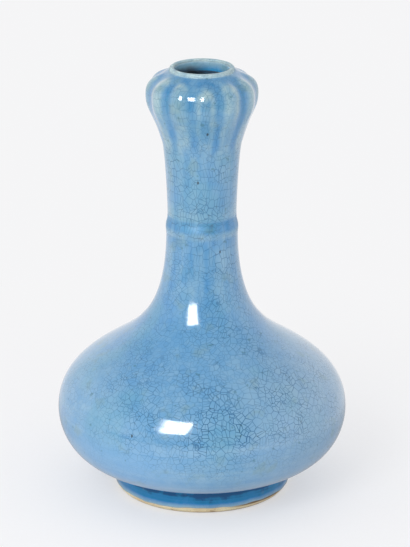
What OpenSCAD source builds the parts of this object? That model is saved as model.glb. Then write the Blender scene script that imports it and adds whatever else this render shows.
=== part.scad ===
// Garlic head vase: thrown clay sections luted end to end under a crackled blue glaze.
// The vase stands on its foot ring at z = 0, and its axis is the z axis.
// Radii and heights are those of the glazed outside, and the clay lies one glaze coat within it.

/* [Foot] */
// Height of the foot ring, from the table to the flat underside of the body
foot_height = 18.7; // [14:0.1:24]
// Outside radius of the foot where it meets the belly
foot_top_radius = 60; // [50:0.5:66]
// How far the foot spreads on its way down to the bare rim
foot_flare = 0.4; // [0.2:0.1:3]
// Bevel round the outer edge of the rim that stands on the table
foot_bevel = 3; // [1.5:0.1:3.6]
// Bevel round the inner edge of that rim
foot_inner_bevel = 1.2; // [0.6:0.1:2]
// Width of the foot ring where it joins the body
foot_width = 8; // [6:0.5:12]
// Height of the clay band at the bottom of the foot that carries no glaze
bare_height = 4.8; // [3.8:0.1:7]

/* [Belly] */
// Radius of the belly at its widest
belly_radius = 99.5; // [88:0.1:110]
// Rise from the top of the foot to the widest part of the belly
belly_rise = 39.4; // [34:0.2:48]
// Angle at which the belly leaves the foot, measured from level
belly_lift = 8; // [4:0.5:18]
// Pull of the belly curve where it leaves the foot
belly_pull = 32.5; // [26:0.5:40]
// Pull of the belly curve below its widest part
belly_round_low = 13.2; // [8:0.2:22]
// Pull of the belly curve above its widest part
belly_round_high = 35.5; // [28:0.5:42]

/* [Shoulder] */
// Radius at the seam between the belly and the neck
shoulder_radius = 43; // [38:0.2:48]
// Rise from the widest part of the belly to that seam
shoulder_rise = 62.4; // [56:0.2:72]
// Angle of the shoulder at that seam, measured from level
shoulder_lift = 48.8; // [42:0.2:58]
// Pull of the shoulder curve below the seam
shoulder_pull = 25.5; // [18:0.5:34]
// Pull of the neck curve above the seam
neck_spring = 6; // [5:0.5:12]

/* [Neck] */
// Radius of the neck just under its ring
neck_radius = 24.4; // [22:0.1:27]
// How much narrower the neck is just above its ring
neck_step = 0.95; // [0.3:0.05:1.2]
// Rise from the shoulder seam to the middle of the ring
neck_rise = 69.5; // [60:0.5:78]
// Pull of the neck curve under the ring
neck_pull = 47.5; // [36:0.5:50]
// Height of the ring that covers the seam in the neck
ring_height = 9; // [6:0.1:12]
// How far the ring stands out
ring_proud = 0.6; // [0.5:0.05:1.2]

/* [Garlic head] */
// Rise from the middle of the ring to the seam below the head
head_seam_rise = 58; // [54:0.5:68]
// Radius at that seam
head_seam_radius = 27; // [25.5:0.1:29]
// Lean of the outline at that seam, measured from upright
head_lean = 15.5; // [10:0.5:18]
// Pull of the neck curve above the ring
neck_top_pull = 12; // [8:0.2:26]
// Pull of the neck curve below the head seam
head_pull_low = 7; // [5:0.5:14]
// Pull of the head curve above that seam
head_pull_high = 22; // [14:0.5:26]
// Radius of the head over the crests of its lobes, at its widest
head_radius = 38; // [35:0.1:42]
// Rise from the seam to the widest part of the head
head_rise = 33.8; // [30:0.2:42]
// Pull of the head curve below its widest part
head_round_low = 12; // [9:0.1:16]
// Pull of the head curve above its widest part
head_round_high = 10.1; // [6:0.1:11]
// Rise from the widest part of the head to the base of the lip
crown_rise = 15.6; // [12:0.2:18]
// Slope of the crown where it meets the lip, measured from level
crown_slope = 27; // [15:1:35]
// Pull of the crown curve at the lip
crown_pull = 7; // [4:0.5:9]
// Number of garlic lobes round the head
lobe_count = 12; // [8:1:14]
// Depth of the grooves between the lobes
groove_depth = 1.7; // [1:0.1:3]
// Turn of the first lobe from the front of the vase
lobe_turn = 3.75; // [0:0.25:30]

/* [Lip] */
// Radius of the circle along the top of the lip
lip_radius = 20.3; // [19.5:0.1:21.5]
// Height of the lip above the crown
lip_height = 2.6; // [2.4:0.1:4]
// Radius of the rounded lip
lip_round = 1.6; // [1.5:0.1:2.2]

/* [Clay and glaze] */
// Thickness of the clay wall at the foot
wall_at_foot = 7; // [5.5:0.1:9]
// Thickness of the clay wall at the widest part of the belly
wall_at_belly = 6; // [5:0.1:8]
// Thickness of the clay wall from the shoulder seam upward
wall_at_neck = 4.8; // [4:0.1:6]
// Thickness of the clay floor at its middle
floor_thickness = 7; // [5:0.2:10]
// Thickness of the glaze coats
glaze = 0.7; // [0.4:0.05:0.9]
// Thickness of the slip that lutes two sections together
slip = 1; // [0.5:0.1:1.6]

/* [Hidden] */
$fn = 96;

// Colours of the fired clay, the slip and the coats
clay_colour = [0.80, 0.62, 0.44];
slip_colour = [0.72, 0.57, 0.42];
outside_colour = [0.46, 0.66, 0.85];
inside_colour = [0.36, 0.62, 0.78];

// Steps along a revolved curve, along a lofted one, over the ring, over the lip and round one lobe
curve_steps = 20;
loft_steps = 6;
ring_steps = 10;
lip_steps = 6;
lobe_steps = 8;

// How sharply a groove narrows between two lobes, and where and how late the lobes fade on the crown
groove_sharpness = 2;
crown_end = 0.9;
crown_fade = 3;

// Places on the belly curve where the clay leaves its flat underside and where the floor ends
belly_first = 0.03;
floor_end = 0.2;
// Pulls of the floor curve at its middle and where it turns up into the wall
floor_pull = 40;
floor_turn = 9;
// Parting between the coat of the head and the coat of the body
coat_parting = 0.05;
// How much thinner the coat is over the middle of the ring, which leaves the ring clear of it
ring_clearance = 0.2;

// Stations from the table up
belly_z = foot_height + belly_rise;
shoulder_z = belly_z + shoulder_rise;
ring_z = shoulder_z + neck_rise;
head_seam_z = ring_z + head_seam_rise;
head_z = head_seam_z + head_rise;
lip_base_z = head_z + crown_rise;
lip_z = lip_base_z + lip_height - lip_round;
floor_z = foot_height + floor_thickness;

// The foot's clay
foot_rim = foot_top_radius + foot_flare - glaze;
foot_inner = foot_top_radius - glaze - foot_width;

// The two edges of the ring, and the two faces of the seam that it covers
ring_low_z = ring_z - ring_height / 2;
ring_high_z = ring_z + ring_height / 2;
ring_top_radius = neck_radius - neck_step;
seam_low_z = ring_z - slip / 2;
seam_high_z = ring_z + slip / 2;

// Points and directions that neighbouring curves share
up = [0, 1];
belly_start = [foot_top_radius, foot_height - glaze * cos(belly_lift)];
belly_way = [cos(belly_lift), sin(belly_lift)];
belly_wide = [belly_radius, belly_z];
shoulder = [shoulder_radius, shoulder_z];
shoulder_way = [-cos(shoulder_lift), sin(shoulder_lift)];
ring_low = [neck_radius, ring_low_z];
ring_high = [ring_top_radius, ring_high_z];
head_seam = [head_seam_radius, head_seam_z];
head_way = [sin(head_lean), cos(head_lean)];
head_wide = [head_radius, head_z];
lip_base = [lip_radius + lip_round, lip_base_z];
crown_way = [-cos(crown_slope), sin(crown_slope)];

// Outline of the glazed outside, as a cubic curve for each section
belly_curve = [
    belly_start,
    belly_start + belly_pull * belly_way,
    belly_wide - belly_round_low * up,
    belly_wide];
shoulder_curve = [
    belly_wide,
    belly_wide + belly_round_high * up,
    shoulder - shoulder_pull * shoulder_way,
    shoulder];
low_neck_curve = [
    shoulder,
    shoulder + neck_spring * shoulder_way,
    ring_low - neck_pull * up,
    ring_low];
high_neck_curve = [
    ring_high,
    ring_high + neck_top_pull * up,
    head_seam - head_pull_low * head_way,
    head_seam];
head_curve = [
    head_seam,
    head_seam + head_pull_high * head_way,
    head_wide - head_round_low * up,
    head_wide];
crown_curve = [
    head_wide,
    head_wide + head_round_high * up,
    lip_base - crown_pull * crown_way,
    lip_base];

// Depths under the glazed outside, at the start and at the end of a curve
coat = [glaze, glaze];
belly_depth = coat + [wall_at_foot, wall_at_belly];
shoulder_depth = coat + [wall_at_belly, wall_at_neck];
neck_depth = coat + [wall_at_neck, wall_at_neck];

// Curve of the clay floor inside, from the axis out to the wall
floor_rim = inset_point(belly_curve, belly_depth, floor_end);
floor_curve = [
    [0, floor_z],
    [floor_pull, floor_z],
    floor_rim - floor_turn * curve_way(belly_curve, floor_end),
    floor_rim];

// Point on a cubic curve at a share t of its length
function curve_point(curve, t) =
    pow(1 - t, 3) * curve[0] + 3 * pow(1 - t, 2) * t * curve[1]
    + 3 * (1 - t) * pow(t, 2) * curve[2] + pow(t, 3) * curve[3];

// Direction of a curve at t
function curve_way(curve, t) =
    let (way = pow(1 - t, 2) * (curve[1] - curve[0]) + 2 * (1 - t) * t * (curve[2] - curve[1])
        + pow(t, 2) * (curve[3] - curve[2]))
    way / norm(way);

// Direction square to a curve, out of the vase
function curve_out(curve, t) =
    let (way = curve_way(curve, t))
    [way[1], -way[0]];

// Point at a depth under a curve, where the depth grows evenly from its start to its end
function inset_point(curve, depth, t) =
    curve_point(curve, t) - (depth[0] + (depth[1] - depth[0]) * t) * curve_out(curve, t);

// Line at a depth under a curve, from t = first to its end
function inset_line(curve, depth, first, steps) = [
    for (i = [0:steps])
        inset_point(curve, depth, first + (1 - first) * i / steps)];

// Share of a curve that the slip at its start takes up
function slip_share(curve) = slip / (3 * norm(curve[1] - curve[0]));

// Line over the ring at a depth, between its two edges, standing out by a given amount at its middle
function ring_line(depth, proud) = [
    for (i = [1:ring_steps - 1])
        let (u = i / ring_steps)
        [neck_radius - neck_step * u + proud * sin(180 * u) - depth, ring_low_z + ring_height * u]];

// Radius of the foot's clay at a height
function foot_radius(z) =
    foot_rim - foot_flare * (z - foot_bevel) / (foot_height - foot_bevel);

// Line at a depth under the outside, from the belly up to the head seam, with a given rise over the ring
function body_line(depth, ring_rise) = concat(
    inset_line(belly_curve, [depth, depth], belly_first, curve_steps),
    inset_line(shoulder_curve, [depth, depth], slip_share(shoulder_curve), curve_steps),
    inset_line(low_neck_curve, [depth, depth], slip_share(low_neck_curve), curve_steps),
    ring_line(depth, ring_rise),
    inset_line(high_neck_curve, [depth, depth], 0, curve_steps));

// Inside line of the lower belly, from the axis up to the belly seam
function bowl_line(cover) = concat(
    inset_line(floor_curve, [cover, cover], 0, curve_steps),
    inset_line(belly_curve, belly_depth + [cover, cover], floor_end + 1 / curve_steps, curve_steps));

// Inside line of the whole vase, from the axis up to the lip, under a cover of glaze
function inside_line(cover) =
    let (more = [cover, cover])
    concat(
        bowl_line(cover),
        inset_line(shoulder_curve, shoulder_depth + more, slip_share(shoulder_curve), curve_steps),
        inset_line(low_neck_curve, neck_depth + more, slip_share(low_neck_curve), curve_steps),
        [[neck_radius - neck_depth[0] - cover, seam_low_z]],
        [[ring_top_radius - neck_depth[0] - cover, seam_high_z]],
        inset_line(high_neck_curve, neck_depth + more, 0, curve_steps),
        inset_line(head_curve, neck_depth + more, slip_share(head_curve), loft_steps),
        inset_line(crown_curve, neck_depth + more, 1 / loft_steps, loft_steps - 1),
        [[lip_radius - lip_round + glaze - cover, lip_z]]);

function reversed(list) = [
    for (i = [len(list) - 1:-1:0])
        list[i]];

// Wall section between an outer line and an inner line that both run upward
module revolved_wall(outer, inner) {
    rotate_extrude()
        polygon(concat(outer, reversed(inner)));
}

// Slip at the start of a curve, through the clay between two depths
module slip_ring(curve, depth) {
    share = slip_share(curve);
    revolved_wall(
        [inset_point(curve, coat, 0), inset_point(curve, coat, share)],
        [inset_point(curve, depth, 0), inset_point(curve, depth, share)]);
}

// Strength of the lobes at a place on the crown curve
function crown_strength(t) = max(0, 1 - pow(t / crown_end, crown_fade));

// Rows of the lobed head at a depth: a point, the direction out of the clay and the lobes' strength
function head_rows(depth, first) = concat(
    [for (t = first)
        [inset_point(head_curve, [depth, depth], t), curve_out(head_curve, t), (1 - cos(180 * t)) / 2]],
    [for (i = [1:loft_steps])
        let (t = i / loft_steps)
        [inset_point(crown_curve, [depth, depth], t), curve_out(crown_curve, t), crown_strength(t)]],
    [for (i = [0:lip_steps])
        let (turn = 180 * i / lip_steps)
        [[lip_radius, lip_z] + (lip_round - depth) * [cos(turn), sin(turn)], up, 0]]);

// Places on the head curve where the clay of the head has its rows
function head_places() =
    let (first = slip_share(head_curve))
    [for (i = [0:loft_steps])
        first + (1 - first) * i / loft_steps];

// Plain rows of the inside of the head, from the lip down
function hollow_rows() =
    let (line = concat(
        inset_line(head_curve, neck_depth, slip_share(head_curve), loft_steps),
        inset_line(crown_curve, neck_depth, 1 / loft_steps, loft_steps - 1)))
    [for (point = reversed(line))
        [point, up, 0]];

// One ring of points round the axis, pressed in at the grooves between the lobes
function lobed_ring(row, columns) = [
    for (j = [0:columns - 1])
        let (
            turn = lobe_turn - 90 + 360 * j / columns,
            press = pow(abs(sin(180 * lobe_count * j / columns)), groove_sharpness),
            point = row[0] - groove_depth * row[2] * press * row[1])
        [point[0] * cos(turn), point[0] * sin(turn), point[1]]];

// Shell lofted through rows that run once round its section
module lofted_shell(rows) {
    columns = lobe_count * lobe_steps;
    count = len(rows);
    points = [
        for (row = rows)
            each lobed_ring(row, columns)];
    faces = [
        for (i = [0:count - 1])
            for (j = [0:columns - 1])
                let (
                    low = i * columns,
                    high = (i + 1) % count * columns,
                    next = (j + 1) % columns)
                each [
                    [low + j, high + next, low + next],
                    [low + j, high + j, high + next]]];
    polyhedron(points, faces);
}

// Turned ring that the vase stands on
module foot_ring() {
    top_z = foot_height - slip;
    color(clay_colour)
        rotate_extrude()
            polygon([
                [foot_inner + foot_inner_bevel, 0],
                [foot_rim - foot_bevel, 0],
                [foot_rim, foot_bevel],
                [foot_radius(top_z), top_z],
                [foot_inner, top_z],
                [foot_inner, foot_inner_bevel]]);
}

// Bowl with the floor of the vase, up to the seam at the widest part
module lower_belly() {
    corner = [foot_top_radius - glaze * sin(belly_lift), foot_height];
    color(clay_colour)
        revolved_wall(
            concat(
                [[0, foot_height], corner],
                inset_line(belly_curve, coat, belly_first, curve_steps)),
            bowl_line(0));
}

// Dome from the belly seam up to the neck
module upper_belly() {
    first = slip_share(shoulder_curve);
    color(clay_colour)
        revolved_wall(
            inset_line(shoulder_curve, coat, first, curve_steps),
            inset_line(shoulder_curve, shoulder_depth, first, curve_steps));
}

// Flared tube from the shoulder up to the seam under the ring
module lower_neck() {
    first = slip_share(low_neck_curve);
    color(clay_colour)
        revolved_wall(
            concat(
                inset_line(low_neck_curve, coat, first, curve_steps),
                [[neck_radius - glaze, seam_low_z]]),
            concat(
                inset_line(low_neck_curve, neck_depth, first, curve_steps),
                [[neck_radius - neck_depth[0], seam_low_z]]));
}

// Strip of clay laid round the neck over its seam
module neck_ring() {
    color(clay_colour)
        revolved_wall(
            concat(
                [[neck_radius - glaze, ring_low_z]],
                ring_line(glaze, ring_proud),
                [[ring_top_radius - glaze, ring_high_z]]),
            [[neck_radius - glaze, seam_low_z], [ring_top_radius - glaze, seam_high_z]]);
}

// Tube from the seam under the ring up to the head
module upper_neck() {
    color(clay_colour)
        revolved_wall(
            concat(
                [[ring_top_radius - glaze, seam_high_z]],
                inset_line(high_neck_curve, coat, 0, curve_steps)),
            concat(
                [[ring_top_radius - neck_depth[0], seam_high_z]],
                inset_line(high_neck_curve, neck_depth, 0, curve_steps)));
}

// Moulded bulb with its garlic lobes, its crown and its rounded lip
module garlic_head() {
    color(clay_colour)
        lofted_shell(concat(head_rows(glaze, head_places()), hollow_rows()));
}

// Slip in the seams of the foot, the belly, the shoulder, the neck and the head
module luting_slip() {
    foot_slip_z = foot_height - slip;
    color(slip_colour) {
        revolved_wall(
            [[foot_radius(foot_slip_z), foot_slip_z], [foot_radius(foot_height), foot_height]],
            [[foot_inner, foot_slip_z], [foot_inner, foot_height]]);
        slip_ring(shoulder_curve, shoulder_depth);
        slip_ring(low_neck_curve, neck_depth);
        revolved_wall(
            [[neck_radius - glaze, seam_low_z], [ring_top_radius - glaze, seam_high_z]],
            [[neck_radius - neck_depth[0], seam_low_z], [ring_top_radius - neck_depth[0], seam_high_z]]);
        slip_ring(head_curve, neck_depth);
    }
}

// Blue coat from the bare rim of the foot up over the lip
module outer_glaze() {
    parting = coat_parting / (3 * head_pull_high);
    places = concat([parting], head_places());
    color(outside_colour) {
        revolved_wall(
            concat([[foot_radius(bare_height) + glaze, bare_height], belly_start], body_line(0, ring_proud)),
            concat(
                [[foot_radius(bare_height), bare_height], [foot_radius(foot_height), foot_height]],
                [[foot_top_radius - glaze * sin(belly_lift), foot_height]],
                body_line(glaze, ring_proud + ring_clearance)));
        lofted_shell(concat(head_rows(0, places), reversed(head_rows(glaze, places))));
    }
}

// Coat of the inside, from the floor up to the lip
module inner_glaze() {
    color(inside_colour)
        revolved_wall(inside_line(0), inside_line(glaze));
}

// Coat of the underside within the foot ring
module base_glaze() {
    color(inside_colour)
        rotate_extrude()
            polygon([
                [0, foot_height - glaze],
                [foot_inner - glaze, foot_height - glaze],
                [foot_inner - glaze, bare_height],
                [foot_inner, bare_height],
                [foot_inner, foot_height],
                [0, foot_height]]);
}

foot_ring();
lower_belly();
upper_belly();
lower_neck();
neck_ring();
upper_neck();
garlic_head();
luting_slip();
outer_glaze();
inner_glaze();
base_glaze();
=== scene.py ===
import math
from collections import namedtuple

import bpy
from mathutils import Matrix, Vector


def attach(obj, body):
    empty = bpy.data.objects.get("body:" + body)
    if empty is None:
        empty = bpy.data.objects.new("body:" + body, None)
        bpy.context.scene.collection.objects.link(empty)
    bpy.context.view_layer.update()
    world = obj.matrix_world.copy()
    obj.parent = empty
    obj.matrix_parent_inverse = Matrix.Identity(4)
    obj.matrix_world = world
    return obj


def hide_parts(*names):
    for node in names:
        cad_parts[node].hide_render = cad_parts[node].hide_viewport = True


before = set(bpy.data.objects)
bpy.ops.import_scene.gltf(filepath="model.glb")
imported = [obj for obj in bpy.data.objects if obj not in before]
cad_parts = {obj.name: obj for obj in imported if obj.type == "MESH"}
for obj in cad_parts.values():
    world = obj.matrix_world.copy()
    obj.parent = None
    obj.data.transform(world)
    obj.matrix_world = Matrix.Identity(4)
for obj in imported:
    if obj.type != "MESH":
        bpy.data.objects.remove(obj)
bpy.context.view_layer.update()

MM = 0.001
TURN = 2 * math.pi

# Outline of the glazed outside in millimetres and degrees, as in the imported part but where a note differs
FOOT_HEIGHT = 18.7
FOOT_TOP_RADIUS = 60.0
FOOT_FLARE = 0.4
FOOT_BEVEL = 3.0
FOOT_INNER_BEVEL = 1.2
FOOT_WIDTH = 8.0
BARE_HEIGHT = 4.8
BELLY_RADIUS = 99.5
BELLY_RISE = 39.4
BELLY_LIFT = 8.0
BELLY_PULL = 32.5
BELLY_ROUND_LOW = 13.2
BELLY_ROUND_HIGH = 35.5
SHOULDER_RADIUS = 43.0
SHOULDER_RISE = 62.4
SHOULDER_LIFT = 48.8
SHOULDER_PULL = 25.5
NECK_SPRING = 6.0
NECK_RADIUS = 24.4
NECK_STEP = 0.95
NECK_RISE = 69.5
NECK_PULL = 47.5
RING_HEIGHT = 9.0
RING_PROUD = 0.6
HEAD_SEAM_RISE = 58.0
HEAD_SEAM_RADIUS = 27.0
HEAD_LEAN = 15.5
NECK_TOP_PULL = 12.0
HEAD_PULL_LOW = 7.0
HEAD_PULL_HIGH = 22.0
HEAD_RADIUS = 38.0
HEAD_RISE = 33.8
HEAD_ROUND_LOW = 12.0
HEAD_ROUND_HIGH = 11.4  # 10.1 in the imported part, whose crown is a little less full
CROWN_RISE = 15.6
CROWN_SLOPE = 27.0
CROWN_PULL = 8.6  # 7.0 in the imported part
LOBE_COUNT = 12
LOBE_TURN = 3.75
GROOVE_DEPTH = 1.7
GROOVE_FLATNESS = 2.5  # 2 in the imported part, whose grooves have narrower bottoms
CROWN_END = 0.9
CROWN_FADE = 3.0
LIP_RADIUS = 20.3
LIP_HEIGHT = 2.6
LIP_ROUND = 1.6
GLAZE = 0.7
SLIP = 1.0

# Rows of the mesh up each stretch of the outside, and columns round it
FOOT_ROWS = 18
BELLY_ROWS = 90
SHOULDER_ROWS = 100
LOW_NECK_ROWS = 70
RING_ROWS = 28
HIGH_NECK_ROWS = 60
HEAD_ROWS = 70
CROWN_ROWS = 50
LIP_ROWS = 24
ROWS_PER_INNER_ROW = 6
LOBE_COLUMNS = 30
COLUMNS = LOBE_COUNT * LOBE_COLUMNS

# Directions in the section, where x is the radius and y the height
OUT = Vector((1, 0))
UP = Vector((0, 1))


def direction(angle, sideways=1.0):
    return Vector((sideways * math.cos(math.radians(angle)), math.sin(math.radians(angle))))


belly_z = FOOT_HEIGHT + BELLY_RISE
shoulder_z = belly_z + SHOULDER_RISE
ring_z = shoulder_z + NECK_RISE
head_seam_z = ring_z + HEAD_SEAM_RISE
head_z = head_seam_z + HEAD_RISE
lip_base_z = head_z + CROWN_RISE
lip_z = lip_base_z + LIP_HEIGHT - LIP_ROUND

belly_start = Vector((FOOT_TOP_RADIUS, FOOT_HEIGHT - GLAZE * math.cos(math.radians(BELLY_LIFT))))
belly_wide = Vector((BELLY_RADIUS, belly_z))
shoulder = Vector((SHOULDER_RADIUS, shoulder_z))
shoulder_way = direction(SHOULDER_LIFT, -1)
ring_low = Vector((NECK_RADIUS, ring_z - RING_HEIGHT / 2))
ring_high = Vector((NECK_RADIUS - NECK_STEP, ring_z + RING_HEIGHT / 2))
head_seam = Vector((HEAD_SEAM_RADIUS, head_seam_z))
head_way = direction(90 - HEAD_LEAN)
head_wide = Vector((HEAD_RADIUS, head_z))
lip_base = Vector((LIP_RADIUS + LIP_ROUND, lip_base_z))
crown_way = direction(CROWN_SLOPE, -1)

belly_curve = (belly_start, belly_start + BELLY_PULL * direction(BELLY_LIFT),
               belly_wide - BELLY_ROUND_LOW * UP, belly_wide)
shoulder_curve = (belly_wide, belly_wide + BELLY_ROUND_HIGH * UP,
                  shoulder - SHOULDER_PULL * shoulder_way, shoulder)
low_neck_curve = (shoulder, shoulder + NECK_SPRING * shoulder_way,
                  ring_low - NECK_PULL * UP, ring_low)
high_neck_curve = (ring_high, ring_high + NECK_TOP_PULL * UP,
                   head_seam - HEAD_PULL_LOW * head_way, head_seam)
head_curve = (head_seam, head_seam + HEAD_PULL_HIGH * head_way,
              head_wide - HEAD_ROUND_LOW * UP, head_wide)
crown_curve = (head_wide, head_wide + HEAD_ROUND_HIGH * UP,
               lip_base - CROWN_PULL * crown_way, lip_base)


def curve_point(curve, t):
    s = 1 - t
    return s**3 * curve[0] + 3 * s * s * t * curve[1] + 3 * s * t * t * curve[2] + t**3 * curve[3]


def curve_out(curve, t):
    s = 1 - t
    way = s * s * (curve[1] - curve[0]) + 2 * s * t * (curve[2] - curve[1]) + t * t * (curve[3] - curve[2])
    way.normalize()
    return Vector((way.y, -way.x))


def smooth_step(low, high, value):
    share = min(1.0, max(0.0, (value - low) / (high - low)))
    return share * share * (3 - 2 * share)


def placed(radius, turn, height):
    """Point in metres from a radius and a height in millimetres and an angle from the front."""
    return (radius * math.sin(turn) * MM, -radius * math.cos(turn) * MM, height * MM)


# Row round the outside: point, direction out, strength of its lobes, place up the crown to 1 and lip to 2
Row = namedtuple("Row", "point out lobes crown", defaults=(0.0, 0.0))


def no_lobes(t):
    return 0.0


def head_lobes(t):
    return (1 - math.cos(math.pi * t)) / 2


def crown_lobes(t):
    return max(0.0, 1 - (t / CROWN_END)**CROWN_FADE)


def curve_rows(curve, count, lobes=no_lobes, crown_share=0.0):
    rows = []
    for i in range(count):
        t = i / count
        rows.append(Row(curve_point(curve, t), curve_out(curve, t), lobes(t), crown_share * t))
    return rows


def foot_rows():
    flared = FOOT_FLARE * (FOOT_HEIGHT - BARE_HEIGHT) / (FOOT_HEIGHT - FOOT_BEVEL)
    wall_low = Vector((FOOT_TOP_RADIUS + flared, BARE_HEIGHT))
    return [Row(wall_low.lerp(belly_start, i / FOOT_ROWS), OUT) for i in range(FOOT_ROWS)]


def ring_rows():
    """Rows over the ring, where the step to the thinner neck above is eased."""
    rows = []
    for i in range(RING_ROWS):
        t = i / RING_ROWS
        radius = NECK_RADIUS - NECK_STEP * smooth_step(0, 1, t) + RING_PROUD * math.sin(math.pi * t)
        rows.append(Row(Vector((radius, ring_low.y + RING_HEIGHT * t)), OUT))
    return rows


def lip_rows():
    rows = []
    for i in range(LIP_ROWS + 1):
        t = i / LIP_ROWS
        out = Vector((math.cos(math.pi * t), math.sin(math.pi * t)))
        rows.append(Row(Vector((LIP_RADIUS, lip_z)) + LIP_ROUND * out, out, crown=1 + t))
    return rows


rows = (foot_rows()
        + curve_rows(belly_curve, BELLY_ROWS)
        + curve_rows(shoulder_curve, SHOULDER_ROWS)
        + curve_rows(low_neck_curve, LOW_NECK_ROWS)
        + ring_rows()
        + curve_rows(high_neck_curve, HIGH_NECK_ROWS)
        + curve_rows(head_curve, HEAD_ROWS, head_lobes)
        + curve_rows(crown_curve, CROWN_ROWS, crown_lobes, 1.0)
        + lip_rows())
# Way up the outside to each row, in metres
row_runs = [0.0]
for below, above in zip(rows, rows[1:]):
    row_runs.append(row_runs[-1] + (above.point - below.point).length * MM)

# Uneven lines round the vase: strength, number and start of the waves that make them up
GLAZE_EDGE_WAVES = ((0.30, 3, 0.5), (0.22, 7, 2.0), (0.16, 17, 4.0), (0.12, 31, 1.0))
RING_WAVES = ((0.20, 9, -0.1), (0.12, 4, 1.0), (0.10, 23, 2.0))
UNDER_RING_WAVES = ((0.25, 7, 1.2),)
RING_WAVES_MEAN = 0.74
UNDER_RING_WAVES_MEAN = 0.75


def wandering(turn, waves, mean=0.0):
    return mean + sum(strength * math.sin(number * turn + start) for strength, number, start in waves)


def column_turn(column):
    return math.radians(LOBE_TURN) + TURN * column / COLUMNS


def groove_press(column):
    return 1 - abs(math.cos(math.pi * column / LOBE_COLUMNS))**GROOVE_FLATNESS


def ring_of_points(row, depth):
    """A row's points round the vase, with its grooves and, on the foot, the uneven edge of the glaze."""
    ring = []
    for column in range(COLUMNS):
        turn = column_turn(column)
        place = row.point - (depth + GROOVE_DEPTH * row.lobes * groove_press(column)) * row.out
        height = place.y
        if height < belly_start.y:
            drop = (belly_start.y - height) / (belly_start.y - BARE_HEIGHT)
            height += wandering(turn, GLAZE_EDGE_WAVES) * drop
        ring.append(placed(place.x, turn, height))
    return ring


def lathe_object(name, rings):
    """Closed skin through rings that run once round its section."""
    vertices = [point for ring in rings for point in ring]
    faces = []
    for i in range(len(rings)):
        low = i * COLUMNS
        high = (i + 1) % len(rings) * COLUMNS
        for j in range(COLUMNS):
            k = (j + 1) % COLUMNS
            faces.append((low + j, low + k, high + k, high + j))
    mesh = bpy.data.meshes.new(name)
    mesh.from_pydata(vertices, [], faces)
    mesh.polygons.foreach_set("use_smooth", [True] * len(faces))
    mesh.update()
    piece = bpy.data.objects.new(name, mesh)
    bpy.context.scene.collection.objects.link(piece)
    return piece


# How the glaze lies: 0 is an even coat, 1 a deep pool and -1 a thin pale place, with painted shade added at
# the top of the foot
PETAL_POOL = -0.60
PETAL_FOOT_POOL = -0.28
CORE_POOL = 0.7
GROOVE_POOL = 0.66
CROWN_POOL = 0.32
LIP_POOL = -0.92
UNDERSIDE_POOL = 0.15
# For each lobe from the front one on: where its pale petal ends on the crown, how much pools within
PETAL_TOPS = (0.50, 0.72, 0.80, 0.70, 0.62, 0.74, 0.66, 0.78, 0.60, 0.70, 0.82, 0.74)
PETAL_CORES = (1.00, 0.05, 0.15, 0.55, 0.20, 0.70, 0.10, 0.45, 0.85, 0.30, 0.10, 0.05)
# Heights between which the petals begin, turn pale and have their cores
PETAL_START = (238, 254)
PETAL_PALING = (268, 284)
CORE_BAND = (258, 287, 8, 4)
# Bands of glaze: pool, lower and upper edge in millimetres, and how soft each edge is
BODY_BANDS = (
    (-0.50, 0.0, BARE_HEIGHT + 1.2, 1.0, 0.8),
    (0.95, BARE_HEIGHT + 2.7, 18.5, 1.5, 1.0),
    # This band darkens the top of the foot under the belly: painted shade, not a deeper pool
    (0.25, 12.8, 18.75, 0.8, 0.75),
    (-0.08, 38.0, 50.0, 5.0, 8.0),
    (0.10, 102.0, 140.0, 12.0, 12.0),
    (0.06, 206.0, 240.0, 6.0, 6.0))
# The same, from the middle of the ring: under it, on it and over it
UNDER_RING_BANDS = ((0.28, -12.0, -6.0, 4.0, 0.8), (-0.26, -4.8, -1.8, 0.9, 0.9))
ON_RING_BANDS = ((0.84, -0.4, 6.8, 1.2, 0.8),)
OVER_RING_BANDS = ((-0.22, 8.2, 14.0, 1.0, 4.0),)


def band_share(low, high, soft_low, soft_high, value):
    """1 between two heights and 0 outside, with soft edges."""
    from_low = smooth_step(low - soft_low, low + soft_low, value)
    return from_low * smooth_step(high + soft_high, high - soft_high, value)


def banded(bands, z):
    return sum(pool_and_shade * band_share(*edges, z) for pool_and_shade, *edges in bands)


def ring_pool(z, turn):
    """Broken bands of thick and thin glaze over and under the ring."""
    level = z - ring_z
    under = wandering(turn, UNDER_RING_WAVES, UNDER_RING_WAVES_MEAN) * banded(UNDER_RING_BANDS, level)
    on_ring = wandering(turn, RING_WAVES, RING_WAVES_MEAN) * banded(ON_RING_BANDS, level)
    return under + on_ring + banded(OVER_RING_BANDS, level)


def petal_pool(column, z, crown):
    """Thin glaze on the lobes, thick in the grooves and in the middle of some lobes."""
    lobe = round(column / LOBE_COLUMNS)
    aside = abs(column / LOBE_COLUMNS - lobe) * 2
    top = PETAL_TOPS[lobe % LOBE_COUNT]
    below_top = smooth_step(top + 0.14, top - 0.16, crown + 0.35 * aside * aside)
    inside = smooth_step(0.98, 0.30, aside) * below_top
    core = PETAL_CORES[lobe % LOBE_COUNT] * smooth_step(0.55, 0.15, aside) * band_share(*CORE_BAND, z)
    around = GROOVE_POOL + (CROWN_POOL - GROOVE_POOL) * smooth_step(0.2, 0.6, crown)
    petal = PETAL_FOOT_POOL + (PETAL_POOL - PETAL_FOOT_POOL) * smooth_step(*PETAL_PALING, z)
    return around + (petal - around) * inside + CORE_POOL * core


def skin_pool(row, column):
    if row.crown >= 1:
        return LIP_POOL
    z = row.point.y
    pool_and_shade = banded(BODY_BANDS, z) + ring_pool(z, column_turn(column))
    lobed = smooth_step(*PETAL_START, z)
    if lobed > 0:
        pool_and_shade += lobed * petal_pool(column, z, row.crown)
    return pool_and_shade + (LIP_POOL - pool_and_shade) * smooth_step(0.95, 1.0, row.crown)


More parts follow.
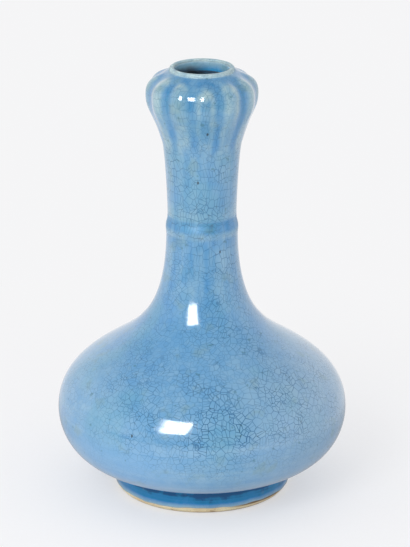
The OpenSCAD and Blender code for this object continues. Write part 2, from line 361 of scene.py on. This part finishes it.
outer = [ring_of_points(row, 0) for row in rows]
inner = [ring_of_points(row, GLAZE) for row in rows[::-ROWS_PER_INNER_ROW]]
glaze_skin = lathe_object("glaze_skin", outer + inner)
hidden = [0.0] * len(inner) * COLUMNS
pools = [skin_pool(row, column) for row in rows for column in range(COLUMNS)]
runs = [run for run in row_runs for column in range(COLUMNS)]
for name, values in (("pool_and_shade", pools), ("run", runs)):
    attribute = glaze_skin.data.attributes.new(name, "FLOAT", "POINT")
    attribute.data.foreach_set("value", values + hidden)
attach(glaze_skin, "root")
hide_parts("outer_glaze")

# How often the corners of the foot are cut, which wears them round
CORNER_CUTS = 2


def foot_section():
    """Section of the foot's clay with worn, rounded edges, once round."""
    rim = FOOT_TOP_RADIUS + FOOT_FLARE - GLAZE
    inside = FOOT_TOP_RADIUS - GLAZE - FOOT_WIDTH
    top = FOOT_HEIGHT - SLIP
    top_radius = rim - FOOT_FLARE * (top - FOOT_BEVEL) / (FOOT_HEIGHT - FOOT_BEVEL)
    corners = ((inside, top), (inside, BARE_HEIGHT),
               (inside, FOOT_INNER_BEVEL), (inside + FOOT_INNER_BEVEL, 0),
               (rim - FOOT_BEVEL, 0), (rim, FOOT_BEVEL),
               (rim, BARE_HEIGHT), (top_radius, top))
    points = [Vector(corner) for corner in corners]
    for cut in range(CORNER_CUTS):
        finer = [points[0]]
        for a, b in zip(points, points[1:]):
            finer += [a.lerp(b, 0.25), a.lerp(b, 0.75)]
        points = finer + [points[-1]]
    return points


foot_rings = [[placed(point.x, column_turn(column), point.y) for column in range(COLUMNS)]
              for point in foot_section()]
foot_clay = lathe_object("foot_clay", foot_rings)
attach(foot_clay, "root")
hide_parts("foot_ring")

# Drift of another colour: scale and detail of its noise, noise where it starts and is full, share, colour
Drift = namedtuple("Drift", "scale detail low high share colour")


class Graph:
    """Builds the nodes of one material or world from its coordinates."""

    def __init__(self, owner, coordinates="Object"):
        owner.use_nodes = True
        self.tree = owner.node_tree
        self.tree.nodes.clear()
        self.place = self.node("ShaderNodeTexCoord").outputs[coordinates]
        self.x, self.y, self.z = self.parts(self.place)

    def node(self, kind, inputs=None, **settings):
        made = self.tree.nodes.new(kind)
        for name, value in settings.items():
            setattr(made, name, value)
        for name, value in (inputs or {}).items():
            self.feed(made.inputs[name], value)
        return made

    def feed(self, socket, value):
        if isinstance(value, bpy.types.NodeSocket):
            self.tree.links.new(value, socket)
        else:
            socket.default_value = value

    def output(self, shader, kind="Material"):
        self.node("ShaderNodeOutput" + kind, {"Surface": shader.outputs[0]})

    def math(self, operation, a, b=0.0):
        return self.node("ShaderNodeMath", {0: a, 1: b}, operation=operation).outputs[0]

    def total(self, first, *others):
        for other in others:
            first = self.math("ADD", first, other)
        return first

    def product(self, first, *others):
        for other in others:
            first = self.math("MULTIPLY", first, other)
        return first

    def lowered(self, value, share, drop):
        return self.math("SUBTRACT", value, self.product(share, drop))

    def centred(self, value, span):
        """A number from 0 to 1 as a number round 0, over a span."""
        return self.product(self.math("SUBTRACT", value, 0.5), span)

    def vector(self, operation, a, b):
        return self.node("ShaderNodeVectorMath", {0: a, 1: b}, operation=operation).outputs[0]

    def measure(self, operation, a, b=(0.0, 0.0, 0.0)):
        return self.node("ShaderNodeVectorMath", {0: a, 1: b}, operation=operation).outputs["Value"]

    def parts(self, vector):
        return self.node("ShaderNodeSeparateXYZ", {0: vector}).outputs

    def joined(self, x, y, z):
        return self.node("ShaderNodeCombineXYZ", {0: x, 1: y, 2: z}).outputs[0]

    def turned(self, vector, angle):
        inputs = {"Vector": vector, "Angle": angle}
        return self.node("ShaderNodeVectorRotate", inputs, rotation_type="Z_AXIS").outputs[0]

    def band(self, value, low, high, first=0.0, last=1.0):
        """Smooth change from first to last while a value goes from low to high."""
        inputs = {"Value": value, "From Min": low, "From Max": high, "To Min": first, "To Max": last}
        return self.node("ShaderNodeMapRange", inputs, interpolation_type="SMOOTHSTEP").outputs["Result"]

    def up(self, low, high, first=0.0, last=1.0):
        """Smooth change between two heights in millimetres."""
        return self.band(self.z, low * MM, high * MM, first, last)

    def across(self, low, high, first=0.0, last=1.0):
        """Smooth change between two places along x in millimetres."""
        return self.band(self.x, low * MM, high * MM, first, last)

    def mix(self, share, a, b, blend="MIX"):
        inputs = {0: share, 6: a, 7: b}
        return self.node("ShaderNodeMix", inputs, data_type="RGBA", blend_type=blend).outputs[2]

    def noise(self, scale, detail, vector=None, output="Fac"):
        place = self.place if vector is None else vector
        inputs = {"Vector": place, "Scale": scale, "Detail": detail}
        return self.node("ShaderNodeTexNoise", inputs).outputs[output]

    def stretched_noise(self, scales, detail):
        scaled = self.node("ShaderNodeMapping", {"Vector": self.place, "Scale": scales}).outputs[0]
        return self.noise(1.0, detail, scaled)

    def drift(self, drift):
        """Share of a drift of colour at each place."""
        return self.band(self.noise(drift.scale, drift.detail), drift.low, drift.high, 0.0, drift.share)

    def ramp(self, value, stops):
        made = self.node("ShaderNodeValToRGB", {"Fac": value})
        elements = made.color_ramp.elements
        while len(elements) < len(stops):
            elements.new(0.5)
        for element, (position, colour) in zip(elements, stops):
            element.position = position
            element.color = (*colour, 1)
        return made.outputs["Color"]

    def bump(self, height, distance):
        inputs = {"Strength": 0.4, "Distance": distance, "Height": height}
        return self.node("ShaderNodeBump", inputs).outputs[0]


# Crackle: bricks of the surface, each with its own flat sheet of cracks: height in metres, number round
BRICK_HEIGHT = 0.021
BELLY_BRICKS = 24
NECK_BRICKS = 8
HEAD_BRICKS = 12
# Heights in millimetres from which the bricks are the neck's and the head's
NECK_BRICKS_FROM = 116.0
HEAD_BRICKS_FROM = 243.5
# Scale and detail of the noise that bends the sheets and frays the bricks, and how far it moves them
SHEET_BEND = (38.0, 1.0, 0.008)
BRICK_FRAY = (130.0, 0.0, 0.014)
BRICK_CRACK_SHARE = 0.8
# Cells per metre of a sheet, and how far a crack and a knot reach from their middle, in metres
CELL_SCALE = 240.0
CRACK = 0.0003
KNOT = 0.0007
# Shares of the cells that are left whole and that have no knots
WHOLE_CELLS = 0.3
CLEAN_CELLS = 0.72
# How loosely cells lie, and how much tighter and taller they are where they stand upright
CELL_LOOSENESS = 0.85
UPRIGHT_TIGHTENING = 0.35
UPRIGHT_STRETCH = 0.3
# Upright cells: above a height in metres that clouds move, in a share of the bricks, with small swings
UPRIGHT_FROM = 0.195
UPRIGHT_CLOUDS = 0.06
UPRIGHT_BRICKS = 0.72
UPRIGHT_CUT_SWING = 0.5
UPRIGHT_SHEET_SWING = 0.35


def run_at(height):
    """Way up the outside to its first row at a height."""
    return next(run for row, run in zip(rows, row_runs) if row.point.y >= height)


def moved(graph, scale, detail, reach):
    """Smooth random moves round the vase and up it."""
    noise = graph.noise(scale, detail, output="Color")
    moves = graph.parts(graph.vector("MULTIPLY", graph.vector("SUBTRACT", noise, (0.5, 0.5, 0.5)),
                                     (reach, reach, reach)))
    return moves[0], moves[1]


def brick_count(graph, run):
    on_neck = graph.math("GREATER_THAN", run, run_at(NECK_BRICKS_FROM))
    on_head = graph.math("GREATER_THAN", run, run_at(HEAD_BRICKS_FROM))
    return graph.total(BELLY_BRICKS, graph.product(on_neck, NECK_BRICKS - BELLY_BRICKS),
                       graph.product(on_head, HEAD_BRICKS - NECK_BRICKS))


def wrapped_sheet(graph, run):
    """Flat coordinates round the vase in bricks, random numbers for each, and the cracks between them."""
    radius = graph.measure("LENGTH", graph.joined(graph.x, graph.y, 0.0))
    azimuth = graph.math("ARCTAN2", graph.x, graph.product(graph.y, -1.0))
    bend_round, bend_up = moved(graph, *SHEET_BEND)
    fray_round, fray_up = moved(graph, *BRICK_FRAY)
    along = graph.total(run, bend_up)
    level = graph.math("DIVIDE", graph.total(along, fray_up), BRICK_HEIGHT)
    row = graph.math("FLOOR", level)
    in_row = graph.math("SUBTRACT", level, row)
    start = graph.node("ShaderNodeTexWhiteNoise", {"W": row}, noise_dimensions="1D").outputs["Value"]
    count = brick_count(graph, run)
    girth = graph.product(radius, TURN)
    width = graph.math("DIVIDE", girth, count)
    turn = graph.total(graph.math("DIVIDE", azimuth, TURN), graph.math("DIVIDE", bend_round, girth))
    share = graph.product(graph.total(turn, start), count)
    frayed = graph.total(share, graph.math("DIVIDE", fray_round, width))
    brick = graph.math("FLOOR", frayed)
    in_brick = graph.math("SUBTRACT", frayed, brick)
    from_brick = graph.product(graph.math("SUBTRACT", share, brick), width)
    key = graph.joined(row, graph.math("FLOORED_MODULO", brick, count), 0.0)
    lots = graph.node("ShaderNodeTexWhiteNoise", {"Vector": key}, noise_dimensions="2D").outputs["Color"]
    sheet = graph.vector("ADD", graph.joined(from_brick, along, 0.0), lots)
    side = graph.product(graph.math("PINGPONG", in_brick, 0.5), width)
    end = graph.product(graph.math("PINGPONG", in_row, 0.5), BRICK_HEIGHT)
    border = graph.band(graph.math("MINIMUM", side, end), CRACK, 0.3 * CRACK)
    return sheet, graph.parts(lots), border


def crack_network(graph, sheet, angle, upright):
    """Cracks of a sheet: cells, most of them cut across the middle, and dark knots where cracks meet."""
    taller = graph.joined(1.0, graph.lowered(1.0, upright, UPRIGHT_STRETCH), 1.0)
    turned = graph.vector("MULTIPLY", graph.turned(sheet, angle), taller)
    looseness = graph.lowered(CELL_LOOSENESS, upright, UPRIGHT_TIGHTENING)
    inputs = {"Vector": turned, "Scale": CELL_SCALE, "Randomness": looseness}
    edge, cell = (graph.node("ShaderNodeTexVoronoi", inputs, feature=feature, voronoi_dimensions="2D")
                  for feature in ("DISTANCE_TO_EDGE", "F1"))
    lots = graph.parts(cell.outputs["Color"])
    from_edge = graph.math("DIVIDE", edge.outputs["Distance"], CELL_SCALE)
    from_middle = graph.vector("SUBTRACT", turned, cell.outputs["Position"])
    swing = graph.lowered(math.pi, upright, math.pi - UPRIGHT_CUT_SWING)
    across = graph.turned(from_middle, graph.centred(lots[0], swing))
    from_cut = graph.math("ABSOLUTE", graph.parts(across)[0])
    is_cut = graph.product(graph.math("GREATER_THAN", lots[1], WHOLE_CELLS),
                           graph.band(lots[2], 0.0, 1.0, 0.55, 1.0))
    cuts = graph.product(graph.band(from_cut, CRACK, 0.2 * CRACK), is_cut)
    cracks = graph.math("MAXIMUM", graph.band(from_edge, CRACK, 0.2 * CRACK), cuts)
    meeting = graph.band(graph.math("MAXIMUM", from_edge, from_cut), KNOT, 0.3 * KNOT)
    knots = graph.product(meeting, graph.math("GREATER_THAN", lots[2], CLEAN_CELLS))
    return cracks, knots, lots[0]


# Colours of the glaze from a thin coat to a deep pool, over this span of pools
GLAZE_STOPS = (
    (0.083, (0.53, 0.67, 0.69)),
    (0.250, (0.350, 0.515, 0.605)),
    (0.417, (0.228, 0.420, 0.598)),
    (0.542, (0.153, 0.358, 0.582)),
    (0.708, (0.080, 0.285, 0.565)),
    (0.833, (0.018, 0.235, 0.520)),
    (0.917, (0.006, 0.220, 0.455)),
    # The darkest stop also colours the painted shade at the top of the foot
    (0.985, (0.001, 0.090, 0.240)))
POOL_SPAN = 2.4
# Other colours in the glaze, among them painted reflections and painted shade
TEAL = Drift(24.0, 4.0, 0.50, 0.66, 0.42, (0.125, 0.36, 0.49, 1))
RUST = Drift(75.0, 3.0, 0.58, 0.72, 0.34, (0.20, 0.32, 0.30, 1))
SPOTS = Drift(210.0, 1.0, 0.71, 0.77, 0.5, (0.06, 0.18, 0.20, 1))
# Painted reflections: pale blue at the lower left of the belly, lavender along the right side
LOW_LEFT_REFLECTION_BLUE = (0.29, 0.52, 0.80, 1)
RIGHT_REFLECTION_LAVENDER = (0.27, 0.405, 0.58, 1)
STAIN = (0.25, 0.39, 0.40, 1)
STAIN_SHARE = 0.15
# Painted shade with a slight change of hue: the neck, and the head over it, darkened as if less light
# reached them
NECK_SHADE_AND_TINT = (0.89, 0.935, 0.955, 1)
HEAD_SHADE_AND_TINT = (0.97, 0.965, 0.94, 1)
# Inside of the mouth: the edge of the lip, the wall below it, and further down painted shade at the left
# and deep down with painted light at the right
LIP_EDGE = (0.56, 0.76, 0.84, 1)
MOUTH_PALE = (0.36, 0.60, 0.76, 1)
MOUTH_BLUE = (0.26, 0.52, 0.66, 1)
MOUTH_SHADE_LEFT = (0.06, 0.09, 0.12, 1)
MOUTH_LIT_RIGHT = (0.06, 0.40, 0.78, 1)
MOUTH_DEEP_SHADE = (0.06, 0.17, 0.25, 1)
# Stain in the cracks, and how its strength changes along x and up: from, to, strength before and after
CRACK_COLOUR = (0.0, 0.08, 0.205, 1)
CRACK_SHARE = 0.90
KNOT_COLOUR = (0.05, 0.10, 0.085, 1)
KNOT_SHARE = 0.6
INSIDE_SHARE = 0.4
CRACKS_ACROSS = ((-80, 20, 0.55, 1.0), (30, 70, 1.0, 0.76))
CRACKS_UP = ((30, 78, 0.15, 1.0), (85, 115, 1.0, 0.59), (185, 215, 1.0, 1.45), (235, 265, 1.0, 0.55))
# Iron specks: azimuth in degrees, then height, radius of the vase there and size in millimetres
SPECKS = ((6.7, 261.6, 31.6, 1.1), (-6.2, 225.9, 24.7, 0.9), (29.6, 176.2, 24.6, 0.9),
          (-28.4, 68.6, 98.2, 1.0), (141.0, 92.0, 82.0, 0.9), (-117.0, 230.0, 25.2, 0.8))
SPECK_SQUEEZE = 0.6
SPECK_SHARE = 0.85
IRON = (0.02, 0.035, 0.04, 1)
# Relief of the glaze in metres, and its gloss, which is duller on the lip and the ring
GLAZE_RELIEF = 0.0008
GLOSS_ROUGHNESS = 0.07
LIP_DULLNESS = 0.58
RING_DULLNESS = 0.4
GLAZE_IOR = 1.6
SHEEN = 0.27
SHEEN_ROUGHNESS = 0.42


class Glaze(Graph):
    """Nodes of the crackled glaze on one surface: the outside, the inside or the underside."""

    def __init__(self, material, surface):
        super().__init__(material)
        self.surface = surface
        self.clouds = self.noise(16.0, 3.0)
        self.mottle = self.noise(110.0, 5.0)
        self.patches = self.band(self.noise(34.0, 3.0), 0.34, 0.60, 0.56, 1.0)
        self.above_foot = self.up(19, 24)
        self.on_belly = self.product(self.above_foot, self.up(115, 90))
        self.cracks, self.knots, self.cell_lot = self.crackle()

    def painted(self, name):
        return self.node("ShaderNodeAttribute", attribute_name=name).outputs["Fac"]

    def crackle(self):
        """Masks of the cracks and of their knots, and a random number for each cell."""
        if self.surface == "underside":
            sheet, lots, border = self.place, (0.0, 0.0, 0.0), 0.0
        else:
            run = self.painted("run") if self.surface == "outside" else self.z
            sheet, lots, border = wrapped_sheet(self, run)
        high = self.math("GREATER_THAN", self.total(self.z, self.product(self.clouds, UPRIGHT_CLOUDS)),
                         UPRIGHT_FROM)
        upright = self.product(high, self.math("LESS_THAN", lots[0], UPRIGHT_BRICKS))
        swing = self.lowered(math.pi, upright, math.pi - UPRIGHT_SHEET_SWING)
        network, knots, cell_lot = crack_network(self, sheet, self.centred(lots[2], swing), upright)
        cracks = self.math("MAXIMUM", self.product(border, BRICK_CRACK_SHARE), network)
        return cracks, knots, cell_lot

    def stain_strength(self):
        """How dark the cracks are: patchy, uneven and by zones."""
        uneven = self.band(self.noise(70.0, 2.0), 0.38, 0.62, 0.72, 1.1)
        zones = [self.across(*zone) for zone in CRACKS_ACROSS] + [self.up(*zone) for zone in CRACKS_UP]
        strength = self.product(self.patches, uneven, *zones)
        return self.product(strength, INSIDE_SHARE) if self.surface == "inside" else strength

    def coat(self):
        """Colour of the coat by how thick it lies."""
        pool_and_shade = self.painted("pool_and_shade") if self.surface == "outside" else UNDERSIDE_POOL
        mottling = self.band(self.mottle, 0.25, 0.75, -1.0, 1.0)
        streaks = self.band(self.stretched_noise((120, 120, 9), 3.0), 0.3, 0.7, -0.28, 0.28)
        throwing_lines = self.band(self.stretched_noise((7, 7, 430), 2.0), 0.3, 0.7, -0.1, 0.1)
        thickness = self.total(
            pool_and_shade,
            self.band(self.clouds, 0.3, 0.7, -0.12, 0.12),
            self.product(mottling, self.up(200, 260, 0.10, 0.20)),
            self.product(streaks, self.up(115, 165)),
            self.product(throwing_lines, self.up(85, 60)),
            self.band(self.cell_lot, 0.0, 1.0, -0.05, 0.05),
            self.product(self.across(-50, 50, 0.04, -0.08), self.on_belly))
        return self.ramp(self.total(self.math("DIVIDE", thickness, POOL_SPAN), 0.5), GLAZE_STOPS)

    def tinted(self, colour):
        """A coat's colour with drifts, stains, spots, painted reflections low left and right, and painted
        shade up the neck and head.
        """
        teal = self.product(self.drift(TEAL), self.up(255, 235, 0.5, 1.0), self.up(40, 75))
        # Paler glaze low on the left and along the right side: painted reflections of the lit floor and the
        # studio
        painted_reflection_low_left = self.product(self.across(10, -50, 0.0, 0.42), self.up(68, 48), self.above_foot)
        clouded_x = self.total(self.x, self.product(self.clouds, 0.05))
        painted_reflection_right = self.product(self.band(clouded_x, 35 * MM, 100 * MM, 0.0, 0.45), self.above_foot)
        right_belly = self.product(self.across(-20, 30, 0.0, 0.6), self.on_belly)
        stained = self.math("MAXIMUM", right_belly, self.up(150, 210))
        for share, tint in ((teal, TEAL.colour),
                            (painted_reflection_low_left, LOW_LEFT_REFLECTION_BLUE),
                            (painted_reflection_right, RIGHT_REFLECTION_LAVENDER),
                            (self.drift(RUST), RUST.colour),
                            (self.product(stained, STAIN_SHARE, self.patches), STAIN),
                            (self.product(self.drift(SPOTS), self.up(22, 50)), SPOTS.colour)):
            colour = self.mix(share, colour, tint)
        # Painted shade: the neck and the head darker, as if less light reached them, with a slight change
        # of hue
        colour = self.mix(self.up(90, 140), colour, NECK_SHADE_AND_TINT, "MULTIPLY")
        return self.mix(self.up(225, 265), colour, HEAD_SHADE_AND_TINT, "MULTIPLY")

    def mouth(self):
        """Colour of the inside: pale at the lip, mottled below it, and painted shade and light from a
        ragged line down.
        """
        # Painted shade at the left and deep down, painted light at the right where the softbox would reach
        dark = self.mix(self.across(-9, 9), MOUTH_SHADE_LEFT, MOUTH_LIT_RIGHT)
        dark = self.mix(self.up(290, 272), dark, MOUTH_DEEP_SHADE)
        wall = self.mix(self.band(self.mottle, 0.35, 0.65), MOUTH_PALE, MOUTH_BLUE)
        ragged = self.total(self.z, self.product(self.x, 0.05), self.centred(self.mottle, 0.006))
        colour = self.mix(self.band(ragged, 297 * MM, 292 * MM), wall, dark)
        return self.mix(self.up(298.6, 297.2), LIP_EDGE, colour)

    def specked(self, colour):
        squeezed = self.vector("MULTIPLY", self.place, (1.0, 1.0, SPECK_SQUEEZE))
        for azimuth, height, radius, size in SPECKS:
            spot = placed(radius, math.radians(azimuth), height * SPECK_SQUEEZE)
            away = self.measure("DISTANCE", squeezed, spot)
            colour = self.mix(self.band(away, size * MM, 0.4 * size * MM, 0.0, SPECK_SHARE), colour, IRON)
        return colour

    def relief(self):
        waves = self.product(self.noise(55.0, 2.0), 0.7)
        ridges = self.product(self.stretched_noise((22, 22, 330), 2.0), 0.12)
        return self.bump(self.lowered(self.total(waves, ridges), self.cracks, 0.03), GLAZE_RELIEF)

    def roughness(self):
        dull_lip = self.up(296.6, 297.6, 0.0, LIP_DULLNESS)
        dull_ring = self.product(self.up(183, 187, 0.0, RING_DULLNESS), self.up(200, 196))
        return self.total(GLOSS_ROUGHNESS, dull_lip, dull_ring)


def glaze_material(name, surface):
    material = bpy.data.materials.new(name)
    glaze = Glaze(material, surface)
    colour = glaze.mouth() if surface == "inside" else glaze.tinted(glaze.coat())
    stained = glaze.stain_strength()
    colour = glaze.mix(glaze.product(glaze.cracks, stained, CRACK_SHARE), colour, CRACK_COLOUR)
    colour = glaze.mix(glaze.product(glaze.knots, stained, KNOT_SHARE), colour, KNOT_COLOUR)
    if surface == "outside":
        colour = glaze.specked(colour)
    glaze.output(glaze.node("ShaderNodeBsdfPrincipled", {
        "Base Color": colour, "Normal": glaze.relief(), "Roughness": glaze.roughness(),
        "IOR": GLAZE_IOR, "Sheen Weight": SHEEN, "Sheen Roughness": SHEEN_ROUGHNESS}))
    return material


# Bare clay of the foot rim, with brown edges at the floor and under the glaze
PALE_CLAY = (0.94, 0.82, 0.54, 1)
BUFF_CLAY = (0.80, 0.63, 0.38, 1)
BURNT = Drift(130.0, 3.0, 0.60, 0.72, 0.55, (0.30, 0.16, 0.08, 1))
GRAINS = Drift(900.0, 2.0, 0.64, 0.75, 0.6, (0.14, 0.09, 0.06, 1))
FLOOR_EDGE = (0.16, 0.07, 0.03, 1)
GLAZE_EDGE = (0.16, 0.08, 0.03, 1)
CLAY_RELIEF = 0.0003
CLAY_ROUGHNESS = 0.75


def clay_material():
    material = bpy.data.materials.new("bare_fired_clay")
    graph = Graph(material)
    colour = graph.mix(graph.band(graph.noise(60.0, 4.0), 0.35, 0.7), PALE_CLAY, BUFF_CLAY)
    floor_edge = graph.product(graph.up(1.8, 0.6), graph.across(-30, 30, 0.5, 0.9))
    glaze_edge = graph.product(graph.up(3.2, 4.0), graph.across(12, 35, 0.1, 0.9))
    for share, tint in ((graph.drift(BURNT), BURNT.colour), (graph.drift(GRAINS), GRAINS.colour),
                        (floor_edge, FLOOR_EDGE), (glaze_edge, GLAZE_EDGE)):
        colour = graph.mix(share, colour, tint)
    relief = graph.bump(graph.noise(GRAINS.scale, GRAINS.detail), CLAY_RELIEF)
    graph.output(graph.node("ShaderNodeBsdfPrincipled", {
        "Base Color": colour, "Normal": relief, "Roughness": CLAY_ROUGHNESS}))
    return material


glaze_skin.data.materials.append(glaze_material("crackled_blue_glaze", "outside"))
clay = clay_material()
foot_clay.data.materials.append(clay)
coats = {"inner_glaze": glaze_material("inside_glaze", "inside"),
         "base_glaze": glaze_material("underside_glaze", "underside")}
for name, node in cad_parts.items():
    node.data.materials.clear()
    node.data.materials.append(coats.get(name, clay))

# Studio, in metres, degrees and watts: a pale floor, soft light from all round and a softbox at the left
FLOOR_HALF = 8.0
FLOOR_WHITE = (0.915, 0.915, 0.925, 1)
PAPER = (0.955, 0.955, 0.965, 1)
PAPER_FIBRES = (0.975, 0.975, 0.985, 1)
TABLE_FRONT = -0.60
TABLE_EDGE_BLUR = 0.03
ROOM_FRONT = (0.10, 0.11, 0.13, 1)
AMBIENT = (0.80, 0.80, 0.816, 1)
ROOM_DARK = (0.09, 0.10, 0.12, 1)
ROOM_WALLS = (0.98, 0.98, 1.0, 1)
KEY_AZIMUTH = -25
KEY_ELEVATION = 31
KEY_DISTANCE = 1.6
KEY_SIZE = (0.66, 0.68)
KEY_AIM = Vector((0, 0, 0.11))
KEY_POWER = 8.5
SOFTBOX_GLARE = 20.0
RAGGED_WIDTH = 0.16
GLARE_EDGE = 0.05
WHITE = (1, 1, 1, 1)


def rectangle(name, half_x, half_y, material):
    mesh = bpy.data.meshes.new(name)
    corners = [(-half_x, -half_y, 0), (half_x, -half_y, 0), (half_x, half_y, 0), (-half_x, half_y, 0)]
    mesh.from_pydata(corners, [], [(0, 1, 2, 3)])
    mesh.materials.append(material)
    return bpy.data.objects.new(name, mesh)


def paper_material():
    """Paper, plain near the vase and white far off, with a painted shadow near the vase where the glaze
    mirrors it, and a front end that only the glaze mirrors.
    """
    material = bpy.data.materials.new("white_paper")
    graph = Graph(material)
    rays = graph.node("ShaderNodeLightPath").outputs
    away = graph.measure("LENGTH", graph.place)
    seen = graph.product(graph.band(away, 0.05, 0.45, 0.55, 1.0), rays["Is Camera Ray"])
    far = graph.math("MAXIMUM", seen, rays["Is Glossy Ray"])
    # As the glaze mirrors it, the white floor is darkened near the vase: a painted shadow
    mirrored_painted_shadow = graph.math("MAXIMUM", graph.band(away, 0.15, 0.30, 0.4, 1.0), rays["Is Camera Ray"])
    colour = graph.mix(graph.band(graph.noise(400.0, 3.0), 0.3, 0.7), PAPER, PAPER_FIBRES)
    diffuse = graph.node("ShaderNodeBsdfDiffuse", {"Color": colour})
    white = graph.node("ShaderNodeEmission", {"Color": FLOOR_WHITE, "Strength": mirrored_painted_shadow})
    plain = graph.node("ShaderNodeMixShader", {0: far, 1: diffuse.outputs[0], 2: white.outputs[0]})
    dark = graph.node("ShaderNodeEmission", {"Color": ROOM_FRONT, "Strength": 1.0})
    off_table = graph.band(graph.y, TABLE_FRONT + TABLE_EDGE_BLUR, TABLE_FRONT - TABLE_EDGE_BLUR)
    front = graph.product(off_table, rays["Is Glossy Ray"])
    graph.output(graph.node("ShaderNodeMixShader", {0: front, 1: plain.outputs[0], 2: dark.outputs[0]}))
    return material


def studio_world():
    """Even light, white for the camera, with walls behind and beside for the glaze to mirror."""
    world = bpy.data.worlds.new("studio")
    graph = Graph(world, "Generated")
    rays = graph.node("ShaderNodeLightPath").outputs
    behind = graph.band(graph.y, -0.35, 0.25)
    beside = graph.band(graph.math("ABSOLUTE", graph.x), 0.55, 0.9)
    below_ceiling = graph.band(graph.z, 0.75, 0.35, 0.25, 1.0)
    walls = graph.product(graph.math("MAXIMUM", behind, beside), below_ceiling)
    light = graph.mix(rays["Is Glossy Ray"], AMBIENT, graph.mix(walls, ROOM_DARK, ROOM_WALLS))
    light = graph.mix(rays["Is Camera Ray"], light, FLOOR_WHITE)
    graph.output(graph.node("ShaderNodeBackground", {"Color": light, "Strength": 1.0}), "World")
    return world


def softbox_material():
    """Glow of the softbox's cloth, ragged along its left edge."""
    material = bpy.data.materials.new("softbox_cloth")
    graph = Graph(material)
    folds = graph.noise(13.0, 2.0, graph.joined(0.0, graph.y, 0.0))
    inward = graph.math("SUBTRACT", graph.total(graph.x, KEY_SIZE[0] / 2),
                        graph.band(folds, 0.3, 0.7, 0.0, RAGGED_WIDTH))
    glow = graph.band(inward, 0.0, GLARE_EDGE, 0.0, SOFTBOX_GLARE)
    graph.output(graph.node("ShaderNodeEmission", {"Color": WHITE, "Strength": glow}))
    return material


def aimed(piece, aim, azimuth, elevation, distance):
    a, e = math.radians(azimuth), math.radians(elevation)
    back = Vector((math.sin(a) * math.cos(e), -math.cos(a) * math.cos(e), math.sin(e)))
    piece.location = aim + distance * back
    piece.rotation_euler = (-back).to_track_quat("-Z", "Y").to_euler()
    bpy.context.scene.collection.objects.link(piece)


floor = rectangle("floor", FLOOR_HALF, FLOOR_HALF, paper_material())
bpy.context.scene.collection.objects.link(floor)

bpy.context.scene.world = studio_world()

key_data = bpy.data.lights.new("softbox", "AREA")
key_data.shape = "RECTANGLE"
key_data.size, key_data.size_y = KEY_SIZE
key_data.energy = KEY_POWER
key = bpy.data.objects.new("softbox", key_data)
key.visible_glossy = False
aimed(key, KEY_AIM, KEY_AZIMUTH, KEY_ELEVATION, KEY_DISTANCE)

# The softbox as the glaze mirrors it
panel = rectangle("softbox_front", KEY_SIZE[0] / 2, KEY_SIZE[1] / 2, softbox_material())
panel.visible_camera = False
panel.visible_diffuse = False
panel.visible_shadow = False
aimed(panel, KEY_AIM, KEY_AZIMUTH, KEY_ELEVATION, KEY_DISTANCE)

# Camera: the photograph's view of the vase
IMAGE_HEIGHT = 547
FOCAL_PIXELS = 3068.6
SHIFT_PIXELS = (3.0, 4.77)
VIEW_DISTANCE = 2.1
VIEW_ELEVATION = 19.065
VIEW_TARGET = Vector((0, 0, 0.15))

camera_data = bpy.data.cameras.new("camera")
camera_data.sensor_width = 36
camera_data.lens = FOCAL_PIXELS * camera_data.sensor_width / IMAGE_HEIGHT
camera_data.shift_x = SHIFT_PIXELS[0] / IMAGE_HEIGHT
camera_data.shift_y = SHIFT_PIXELS[1] / IMAGE_HEIGHT
camera_data.clip_end = 50
camera = bpy.data.objects.new("camera", camera_data)
aimed(camera, VIEW_TARGET, 0, VIEW_ELEVATION, VIEW_DISTANCE)
bpy.context.scene.camera = camera

bpy.context.scene.view_settings.view_transform = "Standard"
